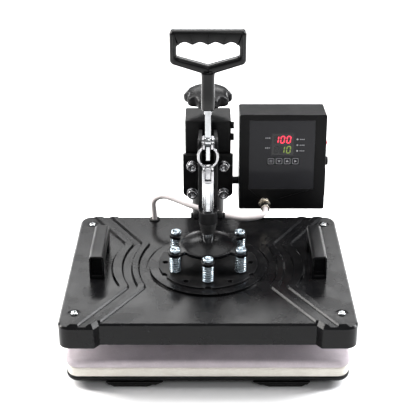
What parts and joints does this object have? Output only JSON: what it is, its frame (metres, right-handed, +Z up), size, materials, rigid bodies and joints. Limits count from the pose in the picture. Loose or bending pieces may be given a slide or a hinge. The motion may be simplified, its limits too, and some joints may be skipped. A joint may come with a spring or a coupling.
{
  "type": "swing-away heat press",
  "caption": "Flat swing-away heat press with a sprung upper platen, D-handle toggle, padded lower table, pressure knob and a control box on the swivelling head.",
  "frame": {"origin": "middle of the footprint, on the surface the feet stand on", "axes": "+Z up, -Y towards the operator, +X to the operator's right where the control box is"},
  "size_m": [0.39, 0.386, 0.45],
  "materials": {
    "black_powder_coat": "satin powder coat",
    "cover_black": "semi-gloss paint on a pressed cover",
    "handle_black": "gloss black casting",
    "chrome": "polished plate",
    "zinc": "bright zinc plate",
    "steel": "nickel-plated steel",
    "aluminium": "ground face",
    "pad_grey": "matte silicone",
    "backing_cream": "matte",
    "black_rubber": "matte",
    "black_plastic": "moulded, fine grain",
    "panel_film": "printed film",
    "window": "tinted display window",
    "key_grey": "satin",
    "rocker_red": "translucent red",
    "brass": "nickel-washed brass",
    "white_silicone": "smooth silicone sleeve",
    "ceramic_wool": "fibrous",
    "board_green": "circuit board"
  },
  "bodies": {
    "base": {"base_frame": "black_powder_coat", "rubber_feet": "black_rubber", "post_column": "black_powder_coat", "column_bolts": "zinc", "lower_tray": "black_powder_coat", "pad_backing": "backing_cream", "silicone_pad": "pad_grey"},
    "bush": {"post_bush": "steel"},
    "knob": {"knob_screw": "steel", "pressure_knob": "black_plastic"},
    "head": {"head_block": "black_powder_coat", "head_side_bolts": "black_powder_coat", "front_plate": "black_powder_coat", "front_plate_screws": "steel", "arm_cheek_left": "black_powder_coat", "arm_cheek_right": "black_powder_coat", "arm_web": "black_powder_coat", "lever_pivot_pin": "steel", "ram_guide": "black_powder_coat", "guide_boot": "black_rubber", "guide_clamp_bolt": "black_powder_coat", "box_spacer": "black_powder_coat", "control_box_shell": "black_powder_coat", "control_box_back": "black_powder_coat", "panel_film": "panel_film", "display_window": "window", "circuit_board": "board_green", "heater_relay": "black_plastic", "switch_bezel": "black_plastic", "power_inlet": "black_plastic", "fuse_holder": "black_plastic", "cable_gland": "brass", "heater_cable": "white_silicone"},
    "lever": {"lever_bar": "chrome", "lever_handle": "handle_black"},
    "link": {"yoke_ring": "steel", "yoke_pin": "steel"},
    "ram": {"ram_shaft": "chrome", "ram_clevis": "steel", "clevis_pin": "steel", "spider": "cover_black", "platen_springs": "zinc"},
    "platen": {"platen_cover": "cover_black", "cover_grommet": "black_rubber", "centre_plate": "black_powder_coat", "spring_bolts": "zinc", "insulation": "ceramic_wool", "heater_element": "steel", "thermocouple": "steel", "heating_plate": "aluminium", "corner_screws": "chrome", "side_handle_left": "black_plastic", "side_handle_right": "black_plastic", "side_handle_screws": "steel"},
    "rocker": {"rocker_switch": "rocker_red"},
    "menu_button": {"menu_key": "key_grey"},
    "down_button": {"down_key": "key_grey"},
    "up_button": {"up_key": "key_grey"},
    "start_button": {"start_key": "key_grey"}
  },
  "joints": [
    {"name": "head_swing", "type": "hinge", "parent": "base", "child": "bush", "pos_m": [0, 0.1555, 0.136], "axis": [0, 0, 1], "continuous": true},
    {"name": "head_height", "type": "slide", "parent": "bush", "child": "head", "axis": [0, 0, 1], "range_m": [-0.003, 0.003]},
    {"name": "knob_turn", "type": "hinge", "parent": "bush", "child": "knob", "pos_m": [0, 0.1555, 0.29], "axis": [0, 0, 1], "range_deg": [-541, 541]},
    {"name": "ram_slide", "type": "slide", "parent": "head", "child": "ram", "axis": [0, 0, -1], "range_m": [0, 0.0216]},
    {"name": "handle_turn", "type": "hinge", "parent": "head", "child": "lever", "pos_m": [0, -0.01895, 0.2852], "axis": [1, 0, 0], "range_deg": [0, 90]},
    {"name": "link_turn", "type": "hinge", "parent": "lever", "child": "link", "pos_m": [0, -0.02975, 0.296], "axis": [1, 0, 0], "range_deg": [-90, 0]},
    {"name": "platen_float", "type": "slide", "parent": "ram", "child": "platen", "axis": [0, 0, 1], "range_m": [0, 0.003], "stiffness_N_per_m": 30000, "springref_m": -0.004, "deforming": ["platen_springs"]},
    {"name": "switch_rock", "type": "hinge", "parent": "head", "child": "rocker", "pos_m": [0.172, 0.14101, 0.21347], "axis": [0, 0.9962, -0.0872], "range_deg": [-20, 0]},
    {"name": "menu_press", "type": "slide", "parent": "head", "child": "menu_button", "axis": [0, 0.9962, -0.0872], "range_m": [0, 0.0005], "stiffness_N_per_m": 2000, "springref_m": -0.0005},
    {"name": "down_press", "type": "slide", "parent": "head", "child": "down_button", "axis": [0, 0.9962, -0.0872], "range_m": [0, 0.0005], "stiffness_N_per_m": 2000, "springref_m": -0.0005},
    {"name": "up_press", "type": "slide", "parent": "head", "child": "up_button", "axis": [0, 0.9962, -0.0872], "range_m": [0, 0.0005], "stiffness_N_per_m": 2000, "springref_m": -0.0005},
    {"name": "start_press", "type": "slide", "parent": "head", "child": "start_button", "axis": [0, 0.9962, -0.0872], "range_m": [0, 0.0005], "stiffness_N_per_m": 2000, "springref_m": -0.0005}
  ],
  "couplings": [
    {"joint": "knob_turn", "follows": "head_height", "rad_per_m": -3141.6},
    {"joint": "handle_turn", "follows": "ram_slide", "rad_per_m": 72.72},
    {"joint": "link_turn", "follows": "ram_slide", "rad_per_m": -72.72}
  ]
}
